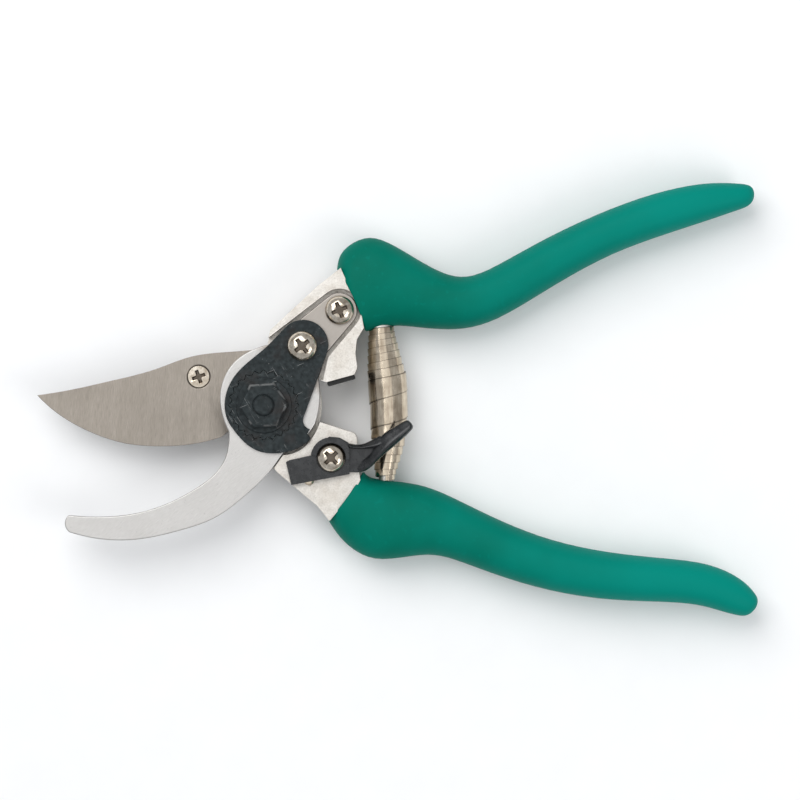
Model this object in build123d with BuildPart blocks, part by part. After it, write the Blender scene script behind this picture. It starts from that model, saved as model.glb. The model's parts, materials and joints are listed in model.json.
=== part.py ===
from build123d import *
import os
from math import atan2, cos, degrees, hypot, radians, sin

# Bypass pruning shears, lying flat on their back and fully open.
# Millimetres. +X runs from the pivot towards the handle ends, +Y towards the upper handle and
# +Z towards the lock plate. The origin is on the pivot axis, at the flat face of the bolt head.

# ---- heights of the layers, from the table up ----
bolt_head_top = 2.2
washer_top = 2.97
head_back = 3.0
blade_back = 9.0
blade_front = 12.0
counter_back = 12.03
counter_front = 16.5
handle_front = 16.4
lock_plate_front = 18.0
nut_front = 21.0
bolt_end = 21.7
handle_mid = 9.0

# ---- pivot ----
bolt_radius = 4.0
bolt_thread_radius = 3.0
running_gap = 0.05
fixed_gap = 0.02
bolt_head_across_flats = 14.0
washer_radius = 9.0
bush_radius = 5.0
boss_radius = 16.0
rim_radius = 16.3
blade_round_radius = 14.4
upper_arc_radius = 17.2

# ---- fasteners ----
blade_screw_at = (-18.4, 8.0)
lock_screw_at = (10.7, 16.5)
tang_screw_at = (21.1, 26.5)
catch_at = (18.8, -14.6)
machine_screw_radius = 2.0
screw_hole_radius = 2.02
screw_end = 6.0
screw_head_height = 2.6
dome_rise = 0.3
blade_screw_radius = 1.75
shoulder_radius = 2.5

# ---- toothed nut ----
tooth_count = 24
tooth_root_radius = 8.8
tooth_tip_radius = 9.8
tooth_gap = 0.08
nut_across_flats = 12.0
nut_turn = 4.0
collar_back = 17.9
collar_radius = 7.7
collar_height = 0.7

# ---- handles ----
core_back = 5.0
core_thickness = 8.0
spring_wall = 0.8
peg_radius = 1.8
peg_flange_thickness = 1.0

# ---- catch ----
catch_back = 16.5
catch_block_front = 19.0
catch_boss_front = 20.4
catch_seat = 18.3
catch_rib_front = 22.6
catch_boss_radius = 5.7
catch_counterbore_radius = 4.15
catch_web_thickness = 1.9
catch_web_back = 16.9
catch_rib_back = 17.4
catch_tip_at = (40.0, -5.6)
catch_tip_radius = 1.45
catch_tip_low = (41.0, -6.6)
catch_tip_high = (39.3, -4.3)
catch_washer_radius = 4.6
catch_washer_front = 16.9
detent_pin_radius = 1.4
detent_pin_back = 10.0
detent_pin_front = 17.2
detent_at = (12.6, -20.9)

os.makedirs("parts", exist_ok=True)


def polar(radius, angle):
    """A point at this radius and angle from the pivot axis."""
    return (radius * cos(radians(angle)), radius * sin(radians(angle)))


def around(centre, radius, angle):
    """A point at this radius and angle from another centre."""
    return (centre[0] + radius * cos(radians(angle)), centre[1] + radius * sin(radians(angle)))


def upright(point):
    """The XZ plane through a point, to turn profiles about a vertical axis there."""
    return Plane(origin=(point[0], point[1], 0), x_dir=(1, 0, 0), z_dir=(0, -1, 0))


def upright_axis(point):
    """The vertical axis through a point."""
    return Axis((point[0], point[1], 0), (0, 0, 1))


def save(piece, name):
    """Labels a finished piece and writes its STEP file."""
    piece.label = name
    export_step(piece, f"parts/{name}.step")


def upright_edges(piece, points):
    """The vertical edges of a piece that stand at these points of its outline."""
    def stands_at(edge):
        middle = edge.position_at(0.5)
        return any(hypot(middle.X - x, middle.Y - y) < 0.05 for x, y in points)
    return piece.edges().filter_by(Axis.Z).filter_by(stands_at)


def cross_recess(point, top, size, depth, turn):
    """The tapered cross-shaped driver recess of a screw head."""
    with BuildPart(mode=Mode.PRIVATE) as recess:
        with BuildSketch(Plane.XY.offset(top)):
            with Locations(point):
                Rectangle(size, size * 0.26, rotation=turn)
                Rectangle(size, size * 0.26, rotation=turn + 90)
        extrude(amount=-depth, taper=12)
        with BuildSketch(Plane.XY.offset(top)):
            with Locations(point):
                Circle(size * 0.24)
        extrude(amount=-depth)
    return recess.part


def pan_screw(point, seat, head_radius, head_height, shank_end, turn, shoulder=None):
    """A pan-head screw whose head rests on the seat height, with an optional plain shoulder."""
    crown = seat + head_height
    shank_radius = machine_screw_radius
    under_head = [(shank_radius, seat)]
    if shoulder:
        under_head = [(shank_radius, shoulder[1]), shoulder, (shoulder[0], seat)]
    with BuildPart() as screw:
        with BuildSketch(upright(point)):
            with BuildLine():
                Polyline((0, crown), (0, shank_end), (shank_radius - 0.5, shank_end),
                         (shank_radius, shank_end + 0.6), *under_head,
                         (head_radius, seat), (head_radius, seat + head_height * 0.4))
                ThreePointArc((head_radius, seat + head_height * 0.4),
                              (head_radius * 0.76, seat + head_height * 0.84), (0, crown))
            make_face()
        revolve(axis=upright_axis(point))
        add(cross_recess(point, crown + dome_rise, head_radius * 1.2, 1.9, turn), mode=Mode.SUBTRACT)
    return screw.part


def toothed_outline(root, tip):
    """Zigzag outline of the nut's teeth, tip then root, all the way round."""
    step = 180.0 / tooth_count
    return [polar(tip if i % 2 == 0 else root, i * step) for i in range(2 * tooth_count)]


def lofted_bar(stations):
    """A bar of oval sections: each station is its two edge points, thickness and roundness."""
    with BuildPart() as bar:
        for edge_a, edge_b, thickness in stations:
            middle = ((edge_a[0] + edge_b[0]) / 2, (edge_a[1] + edge_b[1]) / 2, handle_mid)
            across = (edge_a[0] - edge_b[0], edge_a[1] - edge_b[1], 0)
            width = hypot(across[0], across[1])
            along = (across[1], -across[0], 0)
            with BuildSketch(Plane(origin=middle, x_dir=across, z_dir=along)):
                Ellipse(width / 2, thickness / 2)
        loft()
    return bar.part


# ---- pivot bolt: flat hexagon head, plain shoulder, threaded end ----
with BuildPart() as pivot_bolt:
    with BuildSketch():
        RegularPolygon(bolt_head_across_flats / 2, 6, major_radius=False)
    extrude(amount=bolt_head_top)
    chamfer(pivot_bolt.edges().group_by(Axis.Z)[0], 0.4)
    with BuildSketch(Plane.XY.offset(bolt_head_top)):
        Circle(bolt_radius)
    extrude(amount=counter_front - bolt_head_top)
    with BuildSketch(Plane.XY.offset(counter_front)):
        Circle(bolt_thread_radius)
    extrude(amount=bolt_end - counter_front)
    chamfer(pivot_bolt.edges().group_by(Axis.Z)[-1], 0.5)
save(pivot_bolt.part, "pivot_bolt")

# ---- thrust washer under the bolt head ----
with BuildPart() as pivot_washer:
    with BuildSketch(Plane.XY.offset(bolt_head_top)):
        Circle(washer_radius)
        Circle(bolt_radius + fixed_gap, mode=Mode.SUBTRACT)
    extrude(amount=washer_top - bolt_head_top)
save(pivot_washer.part, "pivot_washer")

# ---- bronze bush pressed into the lower handle ----
with BuildPart() as pivot_bush:
    with BuildSketch(Plane.XY.offset(head_back)):
        Circle(bush_radius)
        Circle(bolt_radius + running_gap, mode=Mode.SUBTRACT)
    extrude(amount=blade_back - head_back - 0.05)
save(pivot_bush.part, "pivot_bush")

# ---- pivot nut: toothed disc, round collar, hexagon ----
with BuildPart() as pivot_nut:
    with BuildSketch(Plane.XY.offset(counter_front + fixed_gap)):
        Polygon(*toothed_outline(tooth_root_radius, tooth_tip_radius), align=None)
    extrude(amount=collar_back - counter_front)
    with BuildSketch(Plane.XY.offset(collar_back)):
        Circle(collar_radius)
    extrude(amount=collar_height)
    with BuildSketch(Plane.XY.offset(lock_plate_front)):
        RegularPolygon(nut_across_flats / 2, 6, major_radius=False, rotation=nut_turn)
    extrude(amount=nut_front - lock_plate_front)
    chamfer(pivot_nut.edges().group_by(Axis.Z)[-1], 0.5)
    with BuildSketch(Plane.XY.offset(counter_front)):
        Circle(bolt_thread_radius + fixed_gap)
    extrude(amount=nut_front, mode=Mode.SUBTRACT)
save(pivot_nut.part, "pivot_nut")

# ---- cutting blade: flat front face, ground bevel on the back ----
blade_tip = (-63.6, 2.8)
blade_shoulder = (-1.3, 15.7)
blade_heel = (-12.0, -8.9)
bevel_centre = (-29.0, 38.1)
bevel_edge_radius = 50.0
bevel_width = 8.0
bevel_end_x = -12.8
edge_thickness = 0.3

with BuildPart() as bevel_cutter:
    with BuildSketch(upright(bevel_centre)):
        Polygon((bevel_edge_radius, blade_front - edge_thickness),
                (bevel_edge_radius - bevel_width, blade_back - 0.01),
                (bevel_edge_radius + 4, blade_back - 0.01),
                (bevel_edge_radius + 4, blade_front - edge_thickness), align=None)
    revolve(axis=upright_axis(bevel_centre))
    with BuildSketch(Plane.XY):
        with Locations((bevel_end_x, 0)):
            Rectangle(200, 300, align=(Align.MAX, Align.CENTER))
    extrude(amount=30, mode=Mode.INTERSECT)

with BuildPart() as cutting_blade:
    with BuildSketch(Plane.XY.offset(blade_back)):
        with BuildLine():
            Spline(blade_tip, (-52.3, 4.7), (-43.3, 6.7), (-34.4, 8.9), (-29.9, 10.3),
                   (-25.4, 12.0), (-20.9, 13.5), (-12.0, 14.8), blade_shoulder)
            ThreePointArc(blade_shoulder, polar(blade_round_radius + 0.2, 20),
                          polar(blade_round_radius, -82))
            Polyline(polar(blade_round_radius, -82), (-10.2, -7.4), blade_heel)
            Spline(blade_heel, (-20.9, -11.0), (-29.9, -11.5), (-38.9, -10.7), (-47.8, -7.9),
                   (-56.8, -3.1), blade_tip)
        make_face()
    extrude(amount=blade_front - blade_back)
    add(bevel_cutter.part, mode=Mode.SUBTRACT)
    with BuildSketch(Plane.XY.offset(blade_back)):
        Circle(bolt_radius + running_gap)
    extrude(amount=blade_front - blade_back, mode=Mode.SUBTRACT)
    with BuildSketch(upright(blade_screw_at)):
        Polygon((0, blade_back - 1), (1.8, blade_back - 1), (1.8, 10.3), (3.38, blade_front),
                (3.38, blade_front + 1), (0, blade_front + 1), align=None)
    revolve(axis=upright_axis(blade_screw_at), mode=Mode.SUBTRACT)
save(cutting_blade.part, "cutting_blade")

# ---- countersunk screw that holds the blade to the arm behind it ----
with BuildPart() as blade_screw:
    with BuildSketch(upright(blade_screw_at)):
        Polygon((0, 4.0), (blade_screw_radius - 0.4, 4.0), (blade_screw_radius, 4.5),
                (blade_screw_radius, 10.6), (3.0, 11.8), (3.0, 11.95), (0, 11.95), align=None)
    revolve(axis=upright_axis(blade_screw_at))
    add(cross_recess(blade_screw_at, 11.95, 3.8, 1.3, 20), mode=Mode.SUBTRACT)
save(blade_screw.part, "blade_screw")

# ---- counter-blade: hook, pivot disc and tang in one plate ----
tang_end_radius = 4.9
tang_left_angle = 130.1
tang_right_angle = -42.0
disc_radius = 15.4
tang_foot = (1.5, 17.0)
tang_neck = (17.5, 14.6)
disc_start = (15.2, 7.6)
with BuildPart() as counter_blade:
    with BuildSketch(Plane.XY.offset(counter_back)):
        with BuildLine():
            Spline((-54.6, -30.7), (-45.6, -31.1), (-36.6, -30.3), (-27.7, -27.7), (-18.7, -23.0),
                   (-13.9, -19.3), (-11.1, -15.4), (-9.9, -11.0), (-9.8, -7.3))
            Spline((-9.8, -7.3), (-11.8, -2.0), (-12.2, 3.6), (-8.4, 11.9), (-3.5, 15.3), tang_foot)
            Line(tang_foot, around(tang_screw_at, tang_end_radius, tang_left_angle))
            ThreePointArc(around(tang_screw_at, tang_end_radius, tang_left_angle),
                          around(tang_screw_at, tang_end_radius, 44),
                          around(tang_screw_at, tang_end_radius, tang_right_angle))
            Line(around(tang_screw_at, tang_end_radius, tang_right_angle), tang_neck)
            Line(tang_neck, disc_start)
            ThreePointArc(disc_start, (disc_radius + 0.1, 0.6), polar(disc_radius - 0.2, -20))
            ThreePointArc(polar(disc_radius - 0.2, -20), polar(14.5, -45), polar(14.2, -66))
            Line(polar(14.2, -66), (2.4, -17.6))
            Spline((2.4, -17.6), (-0.8, -21.1), (-5.3, -25.3), (-9.7, -28.9), (-14.2, -31.7),
                   (-23.2, -34.9), (-32.1, -37.0), (-41.1, -37.7), (-48.0, -37.0), (-54.3, -35.4))
            ThreePointArc((-54.3, -35.4), (-55.5, -33.2), (-54.6, -30.7))
        make_face()
    extrude(amount=counter_front - counter_back)
    with BuildSketch(Plane.XY.offset(counter_back)):
        Circle(bolt_radius + fixed_gap)
        with Locations(lock_screw_at, tang_screw_at):
            Circle(screw_hole_radius)
    extrude(amount=counter_front - counter_back, mode=Mode.SUBTRACT)
save(counter_blade.part, "counter_blade")

# ---- lock plate: ring of inner teeth, arm to its screw, ramp and notch for the catch ----
plate_end_at = (11.0, 16.8)
plate_end_radius = 7.0
ramp = [(10.9, 176), (10.9, 224), (12.7, 260.5), (13.6, 280), (14.7, 299), (16.0, 321)]
with BuildPart() as lock_plate:
    with BuildSketch(Plane.XY.offset(counter_front)):
        with BuildLine():
            Line(around(plate_end_at, plate_end_radius, 134), (1.1, 16.6))
            Spline((1.1, 16.6), (-3.2, 13.0), (-7.2, 9.3), (-9.8, 5.2), polar(*ramp[0]),
                   polar(10.9, 200), *[polar(*stop) for stop in ramp[1:]])
            Polyline(polar(16.0, 321), polar(15.95, 325), polar(14.4, 327), (12.9, -6.7))
            ThreePointArc((12.9, -6.7), (11.5, -5.8), (10.9, -3.9))
            Line((10.9, -3.9), (14.6, 6.3))
            Line((14.6, 6.3), around(plate_end_at, plate_end_radius, -20))
            ThreePointArc(around(plate_end_at, plate_end_radius, -20),
                          around(plate_end_at, plate_end_radius, 57),
                          around(plate_end_at, plate_end_radius, 134))
        make_face()
        Polygon(*toothed_outline(tooth_root_radius + tooth_gap, tooth_tip_radius + tooth_gap),
                align=None, mode=Mode.SUBTRACT)
        with Locations(lock_screw_at):
            Circle(screw_hole_radius, mode=Mode.SUBTRACT)
    extrude(amount=lock_plate_front - counter_front)
save(lock_plate.part, "lock_plate")

# ---- pan screws of the lock plate and of the tang ----
lock_plate_screw = pan_screw(lock_screw_at, lock_plate_front, 4.15, screw_head_height, screw_end, 38)
save(lock_plate_screw, "lock_plate_screw")
counter_blade_screw = pan_screw(tang_screw_at, counter_front, 4.0, screw_head_height, screw_end, 22)
save(counter_blade_screw, "counter_blade_screw")

# ---- spring pegs, pressed through the grips into the handle cores ----
upper_peg_root = (32.2, 28.0)
upper_peg_end = (32.75, 16.5)
lower_peg_root = (33.9, -27.6)
lower_peg_end = (33.75, -15.5)


def spring_peg(root, end, flange_depth, flange_radius):
    """A turned peg with the flange that the spring's end coil sits on."""
    length = hypot(end[0] - root[0], end[1] - root[1])
    toward = ((end[0] - root[0]) / length, (end[1] - root[1]) / length)
    flange_start = (root[0] + toward[0] * flange_depth, root[1] + toward[1] * flange_depth)
    with BuildPart() as peg:
        with BuildSketch(Plane(origin=(root[0], root[1], handle_mid), z_dir=(*toward, 0))):
            Circle(peg_radius)
        extrude(amount=length)
        with BuildSketch(Plane(origin=(*flange_start, handle_mid), z_dir=(*toward, 0))):
            Circle(flange_radius)
        extrude(amount=peg_flange_thickness)
    return peg.part


upper_spring_peg = spring_peg(upper_peg_root, upper_peg_end, 5.2, 3.3)
lower_spring_peg = spring_peg(lower_peg_root, lower_peg_end, 5.0, 2.8)
save(upper_spring_peg, "upper_spring_peg")
save(lower_spring_peg, "lower_spring_peg")

# ---- handle spring: a double cone, widest in the middle, hollow ----
spring_stations = [((32.8, 21.6), 3.5), ((33.1, 17.0), 4.0), ((34.0, 9.5), 5.0),
                   ((34.7, 2.5), 5.6), ((34.8, -5.0), 5.35), ((34.5, -11.5), 4.6),
                   ((33.9, -17.6), 3.3), ((33.85, -20.8), 2.8)]


def spring_shell(shrink, overrun):
    """One skin of the spring, as a loft of circles square to its bowed axis."""
    last = len(spring_stations) - 1
    with BuildPart() as shell:
        for i, (centre, radius) in enumerate(spring_stations):
            before = spring_stations[max(i - 1, 0)][0]
            after = spring_stations[min(i + 1, last)][0]
            along = (after[0] - before[0], after[1] - before[1], 0)
            push = {0: overrun, last: -overrun}.get(i, 0)
            with BuildSketch(Plane(origin=(centre[0], centre[1] + push, handle_mid), z_dir=along)):
                Circle(radius - shrink)
        loft()
    return shell.part


with BuildPart() as handle_spring:
    add(spring_shell(0, 0))
    add(spring_shell(spring_wall, 0.5), mode=Mode.SUBTRACT)
save(handle_spring.part, "handle_spring")

# ---- flat cores that run inside the grips, cast in one with the handles ----
with BuildPart() as upper_core:
    with BuildSketch(Plane.XY.offset(core_back)):
        with BuildLine():
            Spline((19.5, 32.0), (30.0, 40.5), (42.0, 36.5), (52.0, 31.9), (60.0, 32.4),
                   (76.0, 40.6), (95.0, 50.0), (112.0, 55.9), (124.0, 58.6))
            Polyline((124.0, 58.6), (124.0, 55.6), (112.0, 52.2))
            Spline((112.0, 52.2), (95.0, 46.0), (78.0, 37.4), (62.0, 27.8), (52.0, 25.6),
                   (40.0, 26.4), (25.5, 24.5))
            Line((25.5, 24.5), (19.5, 32.0))
        make_face()
    extrude(amount=core_thickness)

with BuildPart() as lower_core:
    with BuildSketch(Plane.XY.offset(core_back)):
        with BuildLine():
            Spline((20.0, -23.5), (31.0, -25.3), (45.0, -26.6), (60.0, -34.4), (78.0, -41.8),
                   (95.0, -45.8), (112.0, -48.0), (125.0, -50.2))
            Polyline((125.0, -50.2), (125.0, -53.0), (112.0, -51.2))
            Spline((112.0, -51.2), (95.0, -50.2), (78.0, -47.0), (60.0, -40.6), (45.0, -37.4),
                   (32.0, -38.0), (16.5, -28.0))
            Line((16.5, -28.0), (20.0, -23.5))
        make_face()
    extrude(amount=core_thickness)

# ---- upper handle: cast head with the tang's recess, nose and grip core ----
recess_wall = 1.1
through = 12.0
nose_tip = (25.3, 8.6)
nose_corner = (17.4, 6.4)
with BuildPart() as upper_handle:
    with BuildSketch(Plane.XY.offset(head_back)):
        with BuildLine():
            Polyline(polar(upper_arc_radius, 87.0), (1.7, 20.9), (5.9, 24.9), (14.9, 33.2),
                     (21.4, 38.3), (24.4, 31.6), (27.0, 26.5), (27.9, 21.6), (25.9, 18.4),
                     (25.5, 14.6), (26.0, 10.6), nose_tip, nose_corner)
            Line(nose_corner, polar(upper_arc_radius, 24))
            ThreePointArc(polar(upper_arc_radius, 24), polar(upper_arc_radius, 55),
                          polar(upper_arc_radius, 87.0))
        make_face()
    extrude(amount=handle_front - head_back)
    fillet(upright_edges(upper_handle, [(5.9, 24.9), (1.7, 20.9), nose_tip, (25.5, 14.6),
                                        (26.0, 10.6), (25.9, 18.4)]), 1.0)
    add(upper_core.part)
    with BuildSketch(Plane.XY.offset(counter_back)):
        with Locations(tang_screw_at):
            Circle(tang_end_radius + recess_wall)
        Polygon(around(tang_screw_at, tang_end_radius + recess_wall, tang_left_angle), (0.2, 18.0),
                (-4, 10), (16.5, 7.0), (17.9, 13.4),
                around(tang_screw_at, tang_end_radius + recess_wall, tang_right_angle), align=None)
    extrude(amount=through, mode=Mode.SUBTRACT)
    with BuildSketch(Plane.XY.offset(screw_end - 0.5)):
        with Locations(lock_screw_at, tang_screw_at):
            Circle(screw_hole_radius)
    extrude(amount=through, mode=Mode.SUBTRACT)
    add(upper_spring_peg, mode=Mode.SUBTRACT)
save(upper_handle.part, "upper_handle")

# ---- rubber bumper under the nose ----
bumper_length = 7.9
bumper_thickness = 1.24
bumper_back = 5.0
bumper_height = 10.0
with BuildPart() as stop_bumper:
    nose_slope = degrees(atan2(nose_tip[1] - nose_corner[1], nose_tip[0] - nose_corner[0]))
    bumper_middle = around(nose_corner, 4.1, nose_slope)
    with BuildSketch(Plane.XY.offset(bumper_back)):
        with Locations(around(bumper_middle, bumper_thickness / 2, nose_slope - 90)):
            RectangleRounded(bumper_length, bumper_thickness, 0.35, rotation=nose_slope)
    extrude(amount=bumper_height)
save(stop_bumper.part, "stop_bumper")

# ---- lower handle: pivot boss, blade arm, raised head with the disc's rim, grip core ----
shoulder_start = polar(rim_radius, -16.6)
with BuildPart() as lower_handle:
    with BuildSketch(Plane.XY.offset(head_back)):
        with BuildLine():
            ThreePointArc(polar(boss_radius, -20), polar(boss_radius, 80), polar(boss_radius, 180))
            Polyline(polar(boss_radius, 180), (-9.3, -8.6), (-5.0, -14.0), (3.3, -18.3),
                     (18.0, -20.0), polar(boss_radius, -20))
        make_face()
        Polygon((-4, 12.5), (-18.4, 13.1), (-18.4, 2.9), (-4, -5), align=None)
        with Locations(blade_screw_at):
            Circle(5.1)
    extrude(amount=blade_back - head_back)
    with BuildSketch(Plane.XY.offset(head_back)):
        with BuildLine():
            Polyline(shoulder_start, (20.2, -6.1), (25.3, -7.8), (25.9, -9.0), (26.0, -15.0),
                     (26.9, -20.9), (25.5, -23.4), (22.9, -26.7), (18.3, -32.3), (14.9, -28.1),
                     (10.4, -24.4), (3.5, -18.5), (2.9, -17.5), (5.35, -13.9))
            ThreePointArc((5.35, -13.9), polar(15.9, -55), polar(rim_radius, -44))
            ThreePointArc(polar(rim_radius, -44), polar(rim_radius, -30), shoulder_start)
        make_face()
    extrude(amount=handle_front - head_back)
    fillet(upright_edges(lower_handle, [(25.3, -7.8), (25.9, -9.0)]), 0.7)
    add(lower_core.part)
    with BuildSketch(Plane.XY.offset(head_back)):
        Circle(bush_radius + fixed_gap)
        with Locations(blade_screw_at):
            Circle(blade_screw_radius + fixed_gap)
    extrude(amount=blade_back - head_back, mode=Mode.SUBTRACT)
    with BuildSketch(Plane.XY.offset(screw_end)):
        with Locations(catch_at):
            Circle(screw_hole_radius)
    extrude(amount=20, mode=Mode.SUBTRACT)
    with BuildSketch(Plane.XY.offset(detent_pin_back)):
        with Locations(detent_at):
            Circle(detent_pin_radius + fixed_gap)
    extrude(amount=20, mode=Mode.SUBTRACT)
    add(lower_spring_peg, mode=Mode.SUBTRACT)
save(lower_handle.part, "lower_handle")

# ---- rubber grips round the cores ----
upper_grip_stations = [
    ((18.6, 37.6), (25.2, 20.0), 17.2), ((28.2, 46.8), (34.5, 22.4), 17.8),
    ((38.1, 43.1), (41.5, 22.2), 18.0), ((48.0, 37.9), (48.5, 21.7), 17.6),
    ((54.5, 35.8), (57.0, 22.0), 17.4), ((62.0, 37.3), (67.2, 25.6), 17.4),
    ((76.5, 45.3), (82.0, 34.7), 17.4), ((93.0, 53.2), (97.6, 43.3), 17.2),
    ((109.8, 59.4), (112.8, 48.5), 16.6), ((123.5, 62.3), (124.6, 52.3), 15.0),
    ((133.0, 61.4), (132.6, 55.0), 11.0), ((136.0, 60.4), (136.0, 57.0), 7.0)]
lower_grip_stations = [
    ((22.6, -18.8), (14.6, -28.0), 17.0), ((30.6, -21.2), (25.0, -39.6), 17.6),
    ((36.0, -22.0), (32.6, -43.3), 18.0), ((45.0, -23.0), (44.6, -41.2), 17.8),
    ((53.8, -26.9), (51.0, -42.0), 17.4), ((66.0, -32.8), (60.8, -45.5), 17.4),
    ((80.0, -38.1), (75.5, -50.5), 17.4), ((96.0, -41.5), (93.5, -54.0), 17.2),
    ((112.0, -43.3), (111.0, -54.7), 16.8), ((124.5, -44.9), (121.5, -55.7), 15.6),
    ((133.5, -49.5), (128.5, -57.7), 13.0), ((137.3, -54.8), (134.3, -58.6), 8.0)]

upper_mouth = [(19.0, 46.0), (21.6, 38.6), (24.6, 31.6), (27.2, 26.5), (28.2, 21.5), (28.6, 16.0)]
lower_mouth = [(28.4, -16.0), (27.2, -20.8), (25.7, -23.4), (23.1, -26.8), (18.5, -32.5), (14.0, -38.0)]


def grip(stations, mouth, core, peg):
    """A grip: the oval bar, cut off at its mouth and hollowed for the core and the peg."""
    with BuildPart() as rubber:
        add(lofted_bar(stations))
        with BuildSketch(Plane.XY.offset(-2)):
            Polygon(*mouth, (8.0, mouth[-1][1]), (8.0, mouth[0][1]), align=None)
        extrude(amount=24, mode=Mode.SUBTRACT)
        add(core, mode=Mode.SUBTRACT)
        add(peg, mode=Mode.SUBTRACT)
    return rubber.part


upper_grip = grip(upper_grip_stations, upper_mouth, upper_core.part, upper_spring_peg)
save(upper_grip, "upper_grip")
lower_grip = grip(lower_grip_stations, lower_mouth, lower_core.part, lower_spring_peg)
save(lower_grip, "lower_grip")

# ---- catch: lever, shoulder screw, wave washer and detent pin ----
detent_pocket_at = (13.1, -21.4)
detent_pocket_radius = 2.5
under_side = catch_back - 1
with BuildPart() as catch_lever:
    with BuildSketch(Plane.XY.offset(catch_back)):
        Polygon((7.7, -22.2), (19.4, -20.0), (25.0, -19.0), (24.4, -17.6), (24.6, -14.5),
                (25.0, -11.7), (23.3, -10.2), (21.1, -9.0), (18.3, -8.7), (15.6, -10.2),
                (13.9, -12.9), (13.3, -13.9), (7.1, -15.3), (6.2, -15.8), align=None)
    extrude(amount=catch_block_front - catch_back)
    with BuildSketch(Plane.XY.offset(catch_back)):
        with Locations(catch_at):
            Circle(catch_boss_radius)
            Rectangle(16, 8, rotation=-8, align=(Align.CENTER, Align.MIN), mode=Mode.INTERSECT)
    extrude(amount=catch_boss_front - catch_back)
    with BuildSketch(Plane.XY.offset(catch_web_back)):
        Polygon((23.5, -18.4), (28.1, -18.0), (30.8, -15.6), (32.6, -13.1), (31.2, -10.6),
                (28.5, -10.9), (23.5, -11.3), align=None)
    extrude(amount=catch_web_thickness)
    with BuildSketch(Plane.XY.offset(catch_rib_back)):
        Polygon((25.0, -18.7), (28.4, -18.7), (30.1, -17.3), (32.0, -15.1), (34.5, -12.8),
                (37.3, -10.3), (39.9, -8.0), catch_tip_low, catch_tip_high, (36.5, -6.0),
                (33.4, -7.6), (31.2, -8.9), (29.5, -10.0), (28.1, -10.7), (26.7, -11.1),
                (25.0, -11.0), (24.0, -11.6), (31.2, -11.9), (31.4, -13.3), (29.6, -15.8),
                (27.6, -17.3), (25.0, -17.4), align=None)
        with Locations(catch_tip_at):
            Circle(catch_tip_radius)
    extrude(amount=catch_rib_front - catch_rib_back)
    with BuildSketch(Plane.XY.offset(catch_seat)):
        with Locations(catch_at):
            Circle(catch_counterbore_radius)
    extrude(amount=10, mode=Mode.SUBTRACT)
    with BuildSketch(Plane.XY.offset(under_side)):
        with Locations(catch_at):
            Circle(shoulder_radius + running_gap)
    extrude(amount=10, mode=Mode.SUBTRACT)
    with BuildSketch(Plane.XY.offset(under_side)):
        with Locations(catch_at):
            Circle(catch_washer_radius + 0.3)
    extrude(amount=catch_washer_front + running_gap - under_side, mode=Mode.SUBTRACT)
    with BuildSketch(Plane.XY.offset(under_side)):
        with Locations(detent_pocket_at):
            Circle(detent_pocket_radius)
    extrude(amount=detent_pin_front + 0.3 - under_side, mode=Mode.SUBTRACT)
save(catch_lever.part, "catch_lever")

catch_screw = pan_screw(catch_at, catch_seat + running_gap, 3.95, screw_head_height, screw_end, 45,
                        shoulder=(shoulder_radius, handle_front))
save(catch_screw, "catch_screw")

with BuildPart() as catch_washer:
    with BuildSketch(Plane.XY.offset(handle_front)):
        with Locations(catch_at):
            Circle(catch_washer_radius)
            Circle(shoulder_radius + fixed_gap, mode=Mode.SUBTRACT)
    extrude(amount=catch_washer_front - handle_front)
save(catch_washer.part, "catch_washer")

with BuildPart() as catch_detent_pin:
    with BuildSketch(Plane.XY.offset(detent_pin_back)):
        with Locations(detent_at):
            Circle(detent_pin_radius)
    extrude(amount=detent_pin_front - detent_pin_back)
    chamfer(catch_detent_pin.edges().group_by(Axis.Z)[-1], 0.5)
save(catch_detent_pin.part, "catch_detent_pin")
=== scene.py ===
import json
import math

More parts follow.
